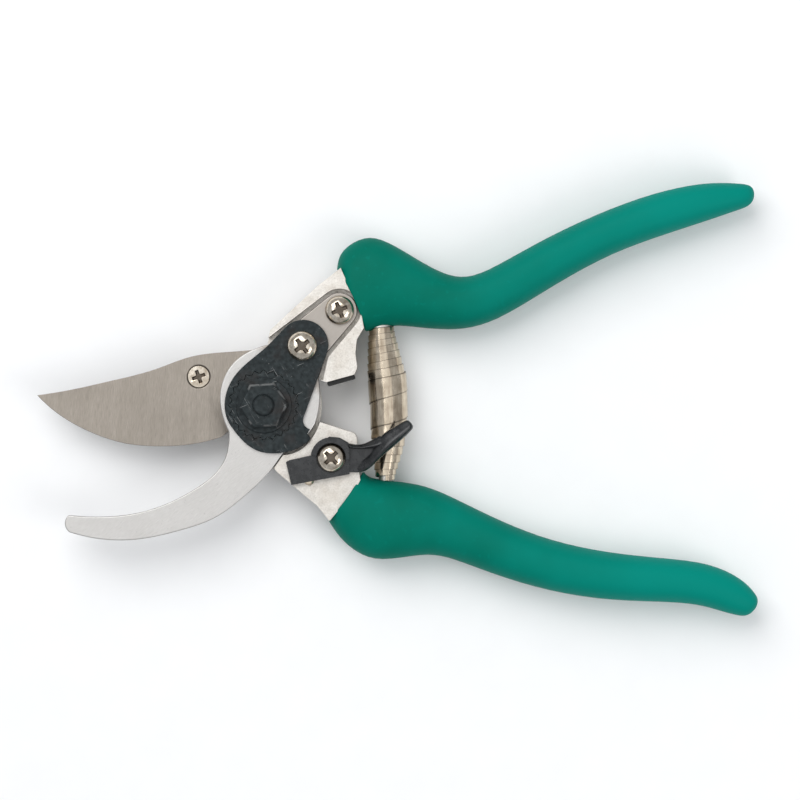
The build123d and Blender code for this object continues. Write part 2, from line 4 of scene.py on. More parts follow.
import bmesh
import bpy
from mathutils import Matrix, Vector
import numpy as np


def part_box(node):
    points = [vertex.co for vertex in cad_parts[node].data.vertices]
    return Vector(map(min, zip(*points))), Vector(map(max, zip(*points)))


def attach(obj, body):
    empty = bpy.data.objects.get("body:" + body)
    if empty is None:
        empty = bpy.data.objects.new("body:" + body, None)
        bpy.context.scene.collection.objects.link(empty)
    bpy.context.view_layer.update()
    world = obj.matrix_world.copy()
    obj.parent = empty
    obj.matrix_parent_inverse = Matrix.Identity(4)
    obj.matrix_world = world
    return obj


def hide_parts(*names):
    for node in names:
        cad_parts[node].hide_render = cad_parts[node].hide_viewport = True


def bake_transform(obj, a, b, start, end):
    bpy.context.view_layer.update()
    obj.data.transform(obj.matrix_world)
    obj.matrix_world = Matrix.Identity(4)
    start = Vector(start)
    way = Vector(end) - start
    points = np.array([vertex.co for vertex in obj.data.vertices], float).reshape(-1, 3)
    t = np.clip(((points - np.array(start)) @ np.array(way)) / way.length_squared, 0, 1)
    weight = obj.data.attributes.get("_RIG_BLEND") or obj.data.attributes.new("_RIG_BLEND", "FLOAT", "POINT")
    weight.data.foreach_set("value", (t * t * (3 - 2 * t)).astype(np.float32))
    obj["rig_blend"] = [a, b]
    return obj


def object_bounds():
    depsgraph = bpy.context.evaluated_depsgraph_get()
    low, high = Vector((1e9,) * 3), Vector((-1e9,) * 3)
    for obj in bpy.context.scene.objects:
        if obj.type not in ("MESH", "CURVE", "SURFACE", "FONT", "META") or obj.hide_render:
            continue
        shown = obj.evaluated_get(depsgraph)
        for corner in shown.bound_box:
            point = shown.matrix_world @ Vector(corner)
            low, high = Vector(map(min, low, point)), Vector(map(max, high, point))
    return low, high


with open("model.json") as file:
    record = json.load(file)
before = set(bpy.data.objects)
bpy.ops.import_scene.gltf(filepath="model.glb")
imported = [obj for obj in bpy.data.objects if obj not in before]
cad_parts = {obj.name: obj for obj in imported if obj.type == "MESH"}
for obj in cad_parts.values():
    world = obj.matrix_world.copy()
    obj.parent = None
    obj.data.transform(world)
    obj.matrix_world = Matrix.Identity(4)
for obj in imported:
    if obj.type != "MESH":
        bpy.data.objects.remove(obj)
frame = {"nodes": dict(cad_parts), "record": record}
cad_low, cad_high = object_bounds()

# The looks of a pair of bypass pruning shears, lying open on their back. Metres, +Z up.
# "lower_half" is the blade side, "upper_half" the hook side, and "catch" the locking lever.

MM = 0.001
UP = Vector((0.0, 0.0, 1.0))


def mm(*numbers):
    """A point or size given in millimetres, as a vector in metres."""
    return Vector(numbers) * MM


# ---------------------------------------------------------------- finishes

# The Mix node's sockets have the same names for every data type, so colours go by number.
MIX_FACTOR, MIX_FIRST_COLOUR, MIX_SECOND_COLOUR = 0, 6, 7
MIX_COLOUR_RESULT = 2


class Wire:
    """An output socket of a node, which takes part in plain arithmetic."""

    def __init__(self, finish, socket):
        self.finish = finish
        self.socket = socket

    def calc(self, operation, first, second=0.0):
        """A Math node on two wires or values."""
        return self.finish.add("ShaderNodeMath", {"operation": operation}, {0: first, 1: second})

    def __add__(self, other):
        return self.calc("ADD", self, other)

    def __sub__(self, other):
        return self.calc("SUBTRACT", self, other)

    def __rsub__(self, other):
        return self.calc("SUBTRACT", other, self)

    def __mul__(self, other):
        return self.calc("MULTIPLY", self, other)

    __radd__ = __add__
    __rmul__ = __mul__


class Finish:
    """One material: a Principled shader and the nodes that vary it over the surface."""

    def __init__(self, name, **constants):
        self.material = bpy.data.materials.new(name)
        self.material.use_nodes = True
        self.tree = self.material.node_tree
        self.shader = self.tree.nodes["Principled BSDF"]
        for socket, value in constants.items():
            self.shader.inputs[socket.replace("_", " ")].default_value = value
        self.place = self.add("ShaderNodeTexCoord", output="Object")

    def add(self, kind, settings=None, values=None, output=0):
        """Any node: its settings, its socket values or links, and the output to read."""
        node = self.tree.nodes.new(kind)
        for name, value in (settings or {}).items():
            setattr(node, name, value)
        for socket, value in (values or {}).items():
            if isinstance(value, Wire):
                self.tree.links.new(value.socket, node.inputs[socket])
            else:
                node.inputs[socket].default_value = value
        return Wire(self, node.outputs[output])

    def coordinate(self, axis):
        """One of the object coordinates, "X", "Y" or "Z", in metres."""
        return self.add("ShaderNodeSeparateXYZ", None, {"Vector": self.place}, axis)

    def drawn_out(self, scale, turn=0.0):
        """Object coordinates, turned about Z and then scaled unevenly, for a directional grain."""
        turned = self.add("ShaderNodeMapping", {"vector_type": "POINT"},
                          {"Vector": self.place, "Rotation": (0.0, 0.0, math.radians(turn))})
        return self.add("ShaderNodeMapping", {"vector_type": "POINT"},
                        {"Vector": turned, "Scale": scale})

    def noise(self, scale, detail=2.0, at=None, roughness=0.5):
        """Soft noise from 0 to 1; scale is in features per metre."""
        return self.add("ShaderNodeTexNoise", None,
                        {"Vector": at or self.place, "Scale": scale, "Detail": detail,
                         "Roughness": roughness})

    def span(self, wire, low, high, to_low=0.0, to_high=1.0):
        """The wire's range low to high, stretched to another range and clamped."""
        return self.add("ShaderNodeMapRange", {"clamp": True},
                        {"Value": wire, "From Min": low, "From Max": high,
                         "To Min": to_low, "To Max": to_high})

    def mix(self, mask, first, second):
        """Colour mix: first where the mask is 0, second where it is 1."""
        return self.add("ShaderNodeMix", {"data_type": "RGBA"},
                        {MIX_FACTOR: mask, MIX_FIRST_COLOUR: first, MIX_SECOND_COLOUR: second},
                        MIX_COLOUR_RESULT)

    def feed(self, socket, wire):
        """Links a wire to one of the shader's sockets."""
        self.tree.links.new(wire.socket, self.shader.inputs[socket])

    def relief(self, height, strength, depth):
        """A bump from a height, in metres of depth at full strength."""
        self.feed("Normal", self.add("ShaderNodeBump", None,
                                     {"Height": height, "Strength": strength, "Distance": depth}))


def rgba(red, green, blue):
    """An opaque colour, in linear light."""
    return (red, green, blue, 1.0)


def cast_aluminium_finish():
    """Tumbled sand casting: bright, softly mottled, with dark pin specks."""
    f = Finish("cast_aluminium", Metallic=0.85)
    mottle = f.noise(420.0, 4.0) * 0.45 + f.noise(2300.0, 3.0) * 0.55
    specks = f.span(f.noise(2700.0, 2.0), 0.69, 0.77)
    stains = f.span(f.noise(160.0, 3.0), 0.45, 0.75)
    pit, crest = rgba(0.50, 0.465, 0.415), rgba(0.79, 0.76, 0.71)
    stain_brown, pin_black = rgba(0.52, 0.45, 0.37), rgba(0.19, 0.175, 0.16)
    stained = f.mix(stains * 0.35, f.mix(f.span(mottle, 0.26, 0.74), pit, crest), stain_brown)
    f.feed("Base Color", f.mix(specks * 0.6, stained, pin_black))
    f.feed("Roughness", f.span(mottle, 0.3, 0.7, 0.52, 0.36) + specks * 0.2)
    f.relief(f.noise(1900.0, 3.0) + f.noise(380.0, 2.0) * 2.0 - specks * 1.5, 0.32, 0.00007)
    return f.material


def blade_steel_finish():
    """Ground carbon steel: fine grain across the blade and faint smudges."""
    f = Finish("blade_steel", Metallic=0.95)
    grain = f.noise(1.0, 3.0, f.drawn_out((7600.0, 420.0, 900.0), 4.0), 0.7)
    broad = f.noise(1.0, 2.0, f.drawn_out((900.0, 60.0, 200.0), 4.0))
    smudge = f.noise(75.0, 3.0)
    tone = f.span(grain * 0.8 + broad * 0.2, 0.28, 0.72)
    furrow, ridge = rgba(0.225, 0.20, 0.172), rgba(0.365, 0.326, 0.282)
    finger_mark = rgba(0.25, 0.225, 0.19)
    steel = f.mix(tone, furrow, ridge)
    f.feed("Base Color", f.mix(f.span(smudge, 0.42, 0.75) * 0.35, steel, finger_mark))
    f.feed("Roughness", f.span(tone, 0.0, 1.0, 0.48, 0.38) + f.span(smudge, 0.4, 0.7) * 0.06)
    f.relief(grain, 0.30, 0.00004)
    return f.material


# How far from the pivot, towards its casting, the hook turns to its unpolished tang, in metres.
TANG_STARTS = (0.0118, 0.0142)


def hook_steel_finish():
    """Satin ground steel, brighter than the blade, with a slanting grain and a duller tang."""
    f = Finish("hook_steel", Metallic=0.92)
    grain = f.noise(1.0, 3.0, f.drawn_out((520.0, 6800.0, 900.0), -38.0), 0.7)
    cloud = f.noise(110.0, 3.0)
    specks = f.span(f.noise(2100.0, 1.0), 0.70, 0.76)
    tone = f.span(grain * 0.75 + cloud * 0.25, 0.30, 0.70)
    furrow, ridge = rgba(0.47, 0.455, 0.435), rgba(0.60, 0.585, 0.565)
    unpolished, speck_grey = rgba(0.29, 0.25, 0.21), rgba(0.30, 0.29, 0.28)
    steel = f.mix(tone, furrow, ridge)
    towards_tang = f.coordinate("X") * 0.6 + f.coordinate("Y") * 0.8
    tang = f.span(towards_tang + cloud * 0.002, *TANG_STARTS)
    dulled = f.mix(tang * 0.7, steel, unpolished)
    f.feed("Base Color", f.mix(specks * 0.4, dulled, speck_grey))
    f.feed("Roughness", f.span(tone, 0.0, 1.0, 0.44, 0.32))
    f.relief(grain, 0.25, 0.00004)
    return f.material


def bright_plate_finish(name, dark, light, stretch):
    """Nickel plate: bright and warm, with small smears, and painted shade, near black, where the piece's
    shade attribute says so.
    """
    f = Finish(name, Metallic=1.0)
    grain = f.noise(1.0, 2.0, f.drawn_out(stretch), 0.6)
    smear = f.noise(260.0, 3.0)
    tone = f.span(grain * 0.5 + smear * 0.5, 0.35, 0.65)
    # Painted shade: a near-black mix where an attribute marks a screw's cross recess or the spring's lapped
    # edges.
    painted_shade = f.add("ShaderNodeAttribute", {"attribute_name": "painted_shade"}, output="Fac")
    painted_shade_black = rgba(0.045, 0.03, 0.02)
    f.feed("Base Color", f.mix(painted_shade * 0.85, f.mix(tone, dark, light), painted_shade_black))
    f.feed("Roughness", f.span(smear, 0.35, 0.7, 0.10, 0.22) + grain * 0.04)
    f.relief(grain + smear * 0.5, 0.06, 0.00004)
    return f.material


# Where the nut's flats face, in degrees about the pivot, and where its worn rim begins and is
# complete: measured across the flats, and in height.
NUT_FLATS = (34.0, 94.0, 154.0)
NUT_RIM_ACROSS = (0.00535, 0.0056)
NUT_RIM_HEIGHT = (0.0203, 0.0206)


def blackened_steel_finish():
    """Black oxide: blue-black, finely mottled, with hair scratches and a rubbed nut rim."""
    f = Finish("blackened_steel", Metallic=0.4, Specular_IOR_Level=0.3)
    mottle = f.noise(900.0, 4.0)
    scratches = (
        f.span(f.noise(1.0, 1.0, f.drawn_out((140.0, 5200.0, 300.0), 58.0)), 0.705, 0.735)
        + f.span(f.noise(1.0, 1.0, f.drawn_out((170.0, 4800.0, 300.0), -24.0)), 0.715, 0.745))
    patches = f.span(f.noise(210.0, 2.0), 0.48, 0.62)
    specks = f.span(f.noise(2300.0, 1.0), 0.755, 0.82)
    x, y, z = (f.coordinate(axis) for axis in "XYZ")
    across_flats = 0.0
    for turn in NUT_FLATS:
        reach = x * math.cos(math.radians(turn)) + y * math.sin(math.radians(turn))
        across_flats = reach.calc("MAXIMUM", reach.calc("ABSOLUTE", reach), across_flats)
    nut_rim = (f.span(across_flats, *NUT_RIM_ACROSS) * f.span(z, *NUT_RIM_HEIGHT)
               * f.span(f.noise(240.0, 2.0), 0.47, 0.58))
    rubbed = scratches * patches * 0.55 + specks * 0.4 + nut_rim * 0.32
    deep_black, worn_black = rgba(0.008, 0.012, 0.013), rgba(0.026, 0.034, 0.036)
    rust_brown, bare_steel = rgba(0.034, 0.020, 0.016), rgba(0.42, 0.42, 0.41)
    oxide = f.mix(f.span(mottle, 0.3, 0.7), deep_black, worn_black)
    browned = f.mix(f.span(f.noise(130.0, 3.0), 0.5, 0.7) * 0.55, oxide, rust_brown)
    f.feed("Base Color", f.mix(rubbed, browned, bare_steel))
    f.feed("Roughness", f.span(mottle, 0.3, 0.7, 0.50, 0.36))
    f.relief(mottle + specks, 0.25, 0.00005)
    return f.material


def black_lacquer_finish():
    """Glossy black lacquer over a rough casting, thin on its high points."""
    f = Finish("black_lacquer")
    lumps = f.noise(520.0, 3.0)
    worn = f.span(f.noise(1500.0, 2.0), 0.68, 0.78)
    hollow, crest, rubbed_grey = (rgba(0.008, 0.009, 0.010), rgba(0.024, 0.025, 0.026),
                                  rgba(0.20, 0.19, 0.18))
    black = f.mix(f.span(lumps, 0.3, 0.7), hollow, crest)
    f.feed("Base Color", f.mix(worn * 0.25, black, rubbed_grey))
    f.feed("Roughness", f.span(lumps, 0.3, 0.7, 0.20, 0.34))
    f.relief(lumps, 0.22, 0.00010)
    return f.material


# Between which X the grips turn paler with painted light towards their tips, in metres.
GRIP_LIT_SPAN = (0.05, 0.12)


def grip_vinyl_finish():
    """Dipped vinyl: matte teal green, with painted light making it paler towards the tips, and faint
    handling marks.
    """
    f = Finish("grip_rubber", Specular_IOR_Level=0.05)
    skin = f.noise(2400.0, 3.0)
    cloud = f.noise(55.0, 3.0)
    dabs = f.span(f.noise(620.0, 2.0), 0.62, 0.74)
    deep_green, mid_green = rgba(0.0, 0.138, 0.093), rgba(0.0, 0.178, 0.129)
    lit_tip_green, mark_green = rgba(0.0, 0.250, 0.200), rgba(0.0, 0.235, 0.185)
    green = f.mix(f.span(cloud, 0.3, 0.7), deep_green, mid_green)
    # Painted light: paler green towards the tips, where more light falls on the grips.
    towards_tip = f.span(f.coordinate("X") + cloud * 0.02, *GRIP_LIT_SPAN)
    tip_lit = f.mix(towards_tip * 0.8, green, lit_tip_green)
    f.feed("Base Color", f.mix(dabs * 0.25, tip_lit, mark_green))
    f.feed("Roughness", f.span(cloud + skin * 0.4, 0.4, 1.0, 0.46, 0.62))
    f.relief(skin + cloud * 0.6, 0.22, 0.00006)
    return f.material


def turned_bronze_finish():
    """Turned bronze with fine tool rings worn along their tops."""
    f = Finish("bronze", Metallic=1.0)
    rings = f.noise(1.0, 2.0, f.drawn_out((300.0, 300.0, 5000.0)))
    f.feed("Base Color", f.mix(rings, rgba(0.42, 0.26, 0.11), rgba(0.70, 0.48, 0.24)))
    f.feed("Roughness", f.span(rings, 0.3, 0.7, 0.24, 0.4))
    f.relief(rings, 0.2, 0.00004)
    return f.material


def black_rubber_finish():
    """Moulded black rubber with a dusty bloom."""
    f = Finish("black_rubber")
    bloom = f.noise(700.0, 3.0)
    f.feed("Base Color", f.mix(bloom, rgba(0.008, 0.008, 0.008), rgba(0.030, 0.030, 0.029)))
    f.feed("Roughness", f.span(bloom, 0.3, 0.7, 0.62, 0.82))
    f.relief(bloom, 0.3, 0.00006)
    return f.material


FINISHES = {
    "cast_aluminium": cast_aluminium_finish(),
    "blade_steel": blade_steel_finish(),
    "hook_steel": hook_steel_finish(),
    "nickel_screw": bright_plate_finish("nickel_screw", rgba(0.42, 0.345, 0.26),
                                        rgba(0.82, 0.745, 0.635), (900.0, 900.0, 900.0)),
    "spring_steel": bright_plate_finish("spring_steel", rgba(0.44, 0.355, 0.26),
                                        rgba(0.76, 0.66, 0.52), (900.0, 160.0, 900.0)),
    "blackened_steel": blackened_steel_finish(),
    "black_lacquer": black_lacquer_finish(),
    "grip_rubber": grip_vinyl_finish(),
    "bronze": turned_bronze_finish(),
    "black_rubber": black_rubber_finish(),
}
SLOT_OF = {row["node"]: row["material_slot"] for row in frame["record"]["subparts"]}
BODY_OF = {node: body for body, nodes in frame["record"]["behaviour"]["bodies"].items()
           for node in nodes}


# ---------------------------------------------------------------- making pieces

# Sharper than this, in degrees, an edge of a CAD piece is shaded and eased as an edge.
SHADED_SHARP = 30.0
EASED_SHARP = 32.0
# CAD vertices nearer than this are one, in metres; faces turned less than this, in degrees, too.
SAME_POINT = 0.000002
SAME_FACE = 1.0
SOFT_LEVELS = 2


def placed(name, data):
    """A new object for a mesh, a light or a camera, put into the scene."""
    item = bpy.data.objects.new(name, data)
    bpy.context.scene.collection.objects.link(item)
    return item


def shown(name, bm, slot, body=None, nodes=()):
    """Turns a finished bmesh into a piece: smooth, in its finish, riding on its body."""
    mesh = bpy.data.meshes.new(name)
    bm.to_mesh(mesh)
    bm.free()
    mesh.shade_smooth()
    piece = placed(name, mesh)
    mesh.materials.append(FINISHES[slot])
    if body:
        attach(piece, body)
    if nodes:
        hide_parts(*nodes)
    return piece


def ease_edges(piece, width, segments=2, angle=EASED_SHARP):
    """Rounds the sharp edges of a piece a little, as a deburred part has them."""
    bevel = piece.modifiers.new("eased_edges", "BEVEL")
    bevel.width = width * MM
    bevel.segments = segments
    bevel.limit_method = "ANGLE"
    bevel.angle_limit = math.radians(angle)
    bevel.use_clamp_overlap = True
    bevel.harden_normals = True
    bevel.miter_outer = "MITER_ARC"


def soften(piece):
    """Subdivision, the same in every view and in the render."""
    subdivision = piece.modifiers.new("soft_form", "SUBSURF")
    subdivision.levels = SOFT_LEVELS
    subdivision.render_levels = SOFT_LEVELS


def mark_sharp(bm, angle):
    """Shades the edges that turn by more than an angle, in degrees, as sharp ones."""
    for edge in bm.edges:
        edge.smooth = edge.calc_face_angle(0.0) < math.radians(angle)


def eased_copy(node, name, width, cut_at=None):
    """A copy of a CAD piece, merged and cleaned, with eased edges; cut off past an X if given."""
    bm = bmesh.new()
    bm.from_mesh(frame["nodes"][node].data)
    bmesh.ops.remove_doubles(bm, verts=bm.verts, dist=SAME_POINT)
    if cut_at:
        bmesh.ops.bisect_plane(bm, geom=[*bm.verts, *bm.edges, *bm.faces],
                               plane_co=mm(cut_at, 0, 0), plane_no=(1.0, 0.0, 0.0),
                               clear_outer=True)
        bmesh.ops.holes_fill(bm, edges=[edge for edge in bm.edges if edge.is_boundary], sides=0)
    bmesh.ops.dissolve_limit(bm, angle_limit=math.radians(SAME_FACE), verts=bm.verts,
                             edges=bm.edges)
    mark_sharp(bm, SHADED_SHARP)
    piece = shown(name, bm, SLOT_OF[node], BODY_OF[node], [node])
    ease_edges(piece, width)
    return piece


def pulled_out(bm, edges):
    """Extrudes a ring of edges without moving it; returns the new vertices and edges."""
    made = bmesh.ops.extrude_edge_only(bm, edges=edges)["geom"]
    return ([item for item in made if isinstance(item, bmesh.types.BMVert)],
            [item for item in made if isinstance(item, bmesh.types.BMEdge)])


def pull_through(bm, edges, places):
    """Extrudes a ring of edges from the first place through the rest; returns the last ring."""
    for before, after in zip(places, places[1:]):
        verts, edges = pulled_out(bm, edges)
        bmesh.ops.transform(bm, matrix=after @ before.inverted(), verts=verts)
    return edges


def close_in(bm, edges, direction, steps):
    """Closes a ring of edges: each step shrinks a new ring and pushes it on by millimetres."""
    for shrink, push in steps:
        ring, edges = pulled_out(bm, edges)
        middle = sum((vert.co for vert in ring), Vector()) / len(ring)
        for vert in ring:
            vert.co = middle + (vert.co - middle) * shrink + direction * push * MM
    bmesh.ops.contextual_create(bm, geom=edges)


def draw_section(bm, places):
    """Joins a bmesh's vertices as one section, draws it through the places and closes its ends."""
    bmesh.ops.contextual_create(bm, geom=bm.verts)
    bmesh.ops.transform(bm, matrix=places[0], verts=bm.verts)
    edges = pull_through(bm, list(bm.edges), places)
    bmesh.ops.contextual_create(bm, geom=edges)
    bmesh.ops.recalc_face_normals(bm, faces=bm.faces)


# ---------------------------------------------------------------- grips

HANDLE_MID = (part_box("upper_grip")[0].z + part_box("upper_grip")[1].z) / 2

# Each station: the grip's two edge points and its thickness, in millimetres.
UPPER_GRIP = [
    ((20.3, 38.6), (28.6, 20.6), 17.0), ((21.0, 43.6), (30.4, 21.2), 17.4),
    ((28.3, 47.9), (34.5, 22.1), 17.8), ((33.9, 46.2), (38.0, 22.3), 17.9),
    ((38.9, 43.4), (42.0, 21.9), 17.8), ((48.0, 37.7), (49.4, 21.1), 17.6),
    ((55.0, 35.4), (58.0, 21.3), 17.4), ((62.0, 37.2), (67.6, 24.9), 17.4),
    ((76.3, 45.7), (82.1, 34.3), 17.4), ((92.9, 53.7), (97.7, 42.9), 17.2),
    ((109.7, 59.9), (112.9, 48.1), 16.6), ((123.5, 62.6), (124.7, 51.9), 15.0),
    ((131.8, 62.3), (131.5, 54.3), 12.6), ((135.4, 62.0), (135.2, 55.5), 9.6)]
LOWER_GRIP = [
    ((27.9, -18.6), (17.9, -32.5), 17.0), ((28.9, -20.0), (20.9, -37.2), 17.4),
    ((31.4, -20.7), (25.6, -41.4), 17.8), ((36.4, -21.2), (32.1, -44.1), 17.9),
    ((45.2, -22.3), (44.3, -41.6), 17.8), ((54.0, -26.4), (50.9, -42.3), 17.4),
    ((66.1, -32.5), (60.6, -46.1), 17.4), ((80.0, -38.0), (75.4, -51.2), 17.4),
    ((96.0, -41.4), (93.4, -54.7), 17.2), ((112.1, -42.9), (111.0, -55.1), 16.8),
    ((124.9, -44.1), (121.5, -55.7), 15.6), ((134.2, -48.7), (128.2, -57.9), 13.0),
    ((138.0, -53.2), (133.4, -59.2), 10.0)]
# 2 would be an ellipse; higher is squarer.
SQUARENESS = 2.35
RING_POINTS = 28
# How the tip rounds off and how the mouth's lip rolls in: each new ring's shrinkage and push.
TIP_STEPS = ((0.72, 1.3), (0.36, 0.75))
LIP_STEPS = ((0.975, -0.25), (0.93, -0.05), (0.88, 0.8))
# How far the dipped mouth bows towards the tip at its middle, in millimetres.
MOUTH_BOW = {"upper_grip": 0.9, "lower_grip": 0.6}


def station_place(first, second, thickness):
    """The frame of a section: across the handle, up through it, and along it."""
    low, high = Vector((*second, 0.0)) * MM, Vector((*first, 0.0)) * MM
    across = (high - low) / 2
    along = across.cross(UP).normalized()
    middle = (low + high) / 2 + UP * HANDLE_MID
    return Matrix.Translation(middle) @ Matrix(
        (across, UP * thickness * MM / 2, along * MM)).transposed().to_4x4()


def grip(stations, bow):
    """One dipped grip: an oval tube drawn along the handle, closed at its tip and mouth."""
    places = [station_place(*station) for station in stations]
    bm = bmesh.new()
    bmesh.ops.create_circle(bm, segments=RING_POINTS, radius=1.0, cap_ends=False)
    for vert in bm.verts:
        for axis in (0, 1):
            value = vert.co[axis]
            vert.co[axis] = math.copysign(abs(value) ** (2.0 / SQUARENESS), value)
    bmesh.ops.transform(bm, matrix=places[0], verts=bm.verts)
    mouth = list(bm.verts)
    tip_edges = pull_through(bm, list(bm.edges), places)
    onward = (places[-1].to_translation() - places[-2].to_translation()).normalized()
    close_in(bm, tip_edges, onward, TIP_STEPS)

    inverse = places[0].inverted()
    inward = places[0].col[2].to_3d().normalized()
    for vert in mouth:
        across = (inverse @ vert.co).x
        vert.co += inward * bow * MM * (1.0 - across * across)
    close_in(bm, [edge for edge in bm.edges if edge.is_boundary], inward, LIP_STEPS)
    bmesh.ops.recalc_face_normals(bm, faces=bm.faces)
    return bm


for grip_name, stations, body in (("upper_grip", UPPER_GRIP, "upper_half"),
                                  ("lower_grip", LOWER_GRIP, "lower_half")):
    soften(shown(grip_name + "_skin", grip(stations, MOUTH_BOW[grip_name]), "grip_rubber", body,
                 [grip_name]))


# ---------------------------------------------------------------- spring

# The double volute's turns from its lower end up: where each starts, its radius, its middle's X.
SPRING_TURNS = [
    (-20.8, 2.62, 33.85), (-19.3, 2.90, 33.85), (-17.6, 3.30, 33.9), (-15.7, 3.80, 34.1),
    (-13.6, 4.25, 34.3), (-11.3, 4.65, 34.5), (-8.6, 4.98, 34.7), (-5.1, 5.30, 34.85),
    (2.5, 5.60, 34.7), (7.7, 5.22, 34.3), (10.1, 4.92, 33.95), (12.3, 4.62, 33.65),
    (14.4, 4.34, 33.4), (16.3, 4.07, 33.15), (18.1, 3.80, 32.95), (19.8, 3.55, 32.85),
    (21.4, 3.40, 32.8)]
STRIP_THICKNESS = 0.24
# How much wider than its pitch the strip is, to each side, in millimetres.
STRIP_LAP = 0.35
# The part of a turn by which the strip's lower end lies round from the axis's side.
SPRING_PHASE = 0.25
FIRST_TURN = 0.5
SECTIONS_PER_TURN = 26
# The strip's section, outward and sideways, with the painted shade that lies along its edges and its
# underside, where the turns lap.
STRIP_SECTION = ((0.0, -1.0, 1.0), (0.0, -0.86, 0.0), (0.0, 0.86, 0.0), (0.0, 1.0, 1.0),
                 (-1.0, 1.0, 1.0), (-1.0, -1.0, 1.0))
# Where the spring's ends follow the halves, in millimetres.
LOWER_END, UPPER_END = (33.9, -20.8, 9.0), (32.8, 21.4, 9.0)
# The share by which the end turns close up more than the average turn, and the middle ones less.
CLOSING_SPREAD = 0.2
STRIP_EDGE_WIDTH = 0.05
STRIP_SHADED_SHARP = 50.0
STRIP_EASED_SHARP = 60.0


def between(values, place):
    """A value read off a list at a fractional place along it."""
    index = min(max(int(place), 0), len(values) - 2)
    return values[index] + (values[index + 1] - values[index]) * (place - index)


def strip_place(turn):
    """The section of the spring's strip at a turn: radially, along the axis, and round it."""
    starts, radii, middles = zip(*SPRING_TURNS)
    pitch = between(starts, turn + 0.5) - between(starts, turn - 0.5)
    lean = between(middles, turn + 0.5) - between(middles, turn - 0.5)
    wide = pitch / 2 + STRIP_LAP
    axis = Vector((lean, pitch, 0.0)).normalized()
    side = axis.cross(UP)
    angle = -math.tau * (turn + SPRING_PHASE)
    radial = side * math.cos(angle) + UP * math.sin(angle)
    centre = mm(between(middles, turn), between(starts, turn), 0.0) + UP * HANDLE_MID
    place = Matrix((radial * STRIP_THICKNESS * MM, axis * wide * MM,
                    radial.cross(axis) * MM)).transposed().to_4x4()
    return Matrix.Translation(centre + radial * between(radii, turn - 0.5) * MM) @ place


def volute_strip():
    """The spring: one strip wound up in turns that nest inside the widest one."""
    turns = len(SPRING_TURNS) - 1 - FIRST_TURN
    bm = bmesh.new()
    # Painted shade darkens the strip along its edges and underside, where the turns lap.
    painted_shade = bm.verts.layers.float.new("painted_shade")
    for outward, sideways, shade_amount in STRIP_SECTION:
        bm.verts.new((outward, sideways, 0.0))[painted_shade] = shade_amount
    draw_section(bm, [strip_place(FIRST_TURN + step / SECTIONS_PER_TURN)
                      for step in range(int(turns * SECTIONS_PER_TURN))])
    mark_sharp(bm, STRIP_SHADED_SHARP)
    return bm


def share_of_closing(height):
    """How far a point of the spring follows the upper half: the middle turns close up least."""
    low, high = SPRING_TURNS[0][0] * MM, SPRING_TURNS[-1][0] * MM
    rise = min(max((height - low) / (high - low), 0.0), 1.0)
    return rise + CLOSING_SPREAD * math.sin(math.tau * rise) / math.tau


spring = shown("handle_spring_strip", volute_strip(), "spring_steel")
ease_edges(spring, STRIP_EDGE_WIDTH, 1, STRIP_EASED_SHARP)
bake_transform(spring, "lower_half", "upper_half", mm(*LOWER_END), mm(*UPPER_END))
follow = spring.data.attributes["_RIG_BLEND"].data
for section in range(len(follow) // len(STRIP_SECTION)):
    corners = range(len(STRIP_SECTION) * section, len(STRIP_SECTION) * (section + 1))
    height = sum(spring.data.vertices[corner].co.y for corner in corners) / len(STRIP_SECTION)
    for corner in corners:
        follow[corner].value = share_of_closing(height)
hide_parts("handle_spring")


# ---------------------------------------------------------------- catch lever's finger and web

# The finger's section, counter-clockwise: its crest lies towards the lower side.
FINGER_SECTION = ((1.0, -0.1), (0.92, 0.42), (0.62, 0.86), (0.36, 1.0), (-0.15, 0.62),
                  (-0.72, 0.34), (-1.0, -0.15), (-0.85, -0.72), (0.0, -0.9), (0.8, -0.72))
# Its stations: upper edge, lower edge, underside and crest heights.
FINGER = [((25.0, -15.6), (25.2, -18.8), 17.0, 18.3), ((27.4, -15.2), (27.6, -18.8), 17.1, 19.4),
          ((29.4, -13.8), (30.0, -17.4), 17.3, 20.6), ((30.9, -11.4), (32.4, -14.8), 17.4, 21.4),
          ((32.3, -8.5), (34.9, -12.7), 17.5, 22.0), ((34.6, -6.8), (37.4, -10.6), 17.7, 22.3),
          ((37.3, -5.2), (39.7, -8.5), 18.0, 22.3), ((39.2, -4.2), (41.3, -6.9), 18.6, 22.1),
          ((40.3, -3.9), (41.9, -5.9), 19.4, 21.6)]
# The raised wall along the web's other side, in the same way.
WEB_WALL = [((23.0, -10.2), (23.4, -12.0), 17.0, 20.3), ((25.2, -10.9), (25.3, -12.2), 17.0, 20.0),
            ((27.4, -10.9), (27.4, -12.2), 17.0, 20.0), ((29.6, -9.9), (29.6, -12.1), 17.2, 20.4),
            ((31.4, -8.8), (31.6, -12.0), 17.4, 21.0), ((33.2, -7.9), (34.2, -11.2), 17.6, 21.2)]
# The thin web between them: its outline, its underside and its thickness.
WEB = ((23.6, -18.6), (26.2, -18.7), (28.4, -18.0), (30.8, -15.6), (32.6, -13.0), (31.4, -10.6),
       (28.5, -11.2), (23.6, -11.0))
WEB_UNDERSIDE = 16.9
WEB_THICKNESS = 1.7
WEB_EDGE_WIDTH = 0.3


def finger_place(upper, lower, underside, crest):
    """The frame of one of the finger's sections: towards its lower side, up, and along."""
    first, second = mm(*upper, 0.0), mm(*lower, 0.0)
    across = (second - first) / 2
    rise = (crest - underside) / 2 * MM
    along = across.cross(UP).normalized() * MM
    middle = (first + second) / 2 + UP * (crest + underside) / 2 * MM
    return Matrix.Translation(middle) @ Matrix((across, UP * rise, along)).transposed().to_4x4()


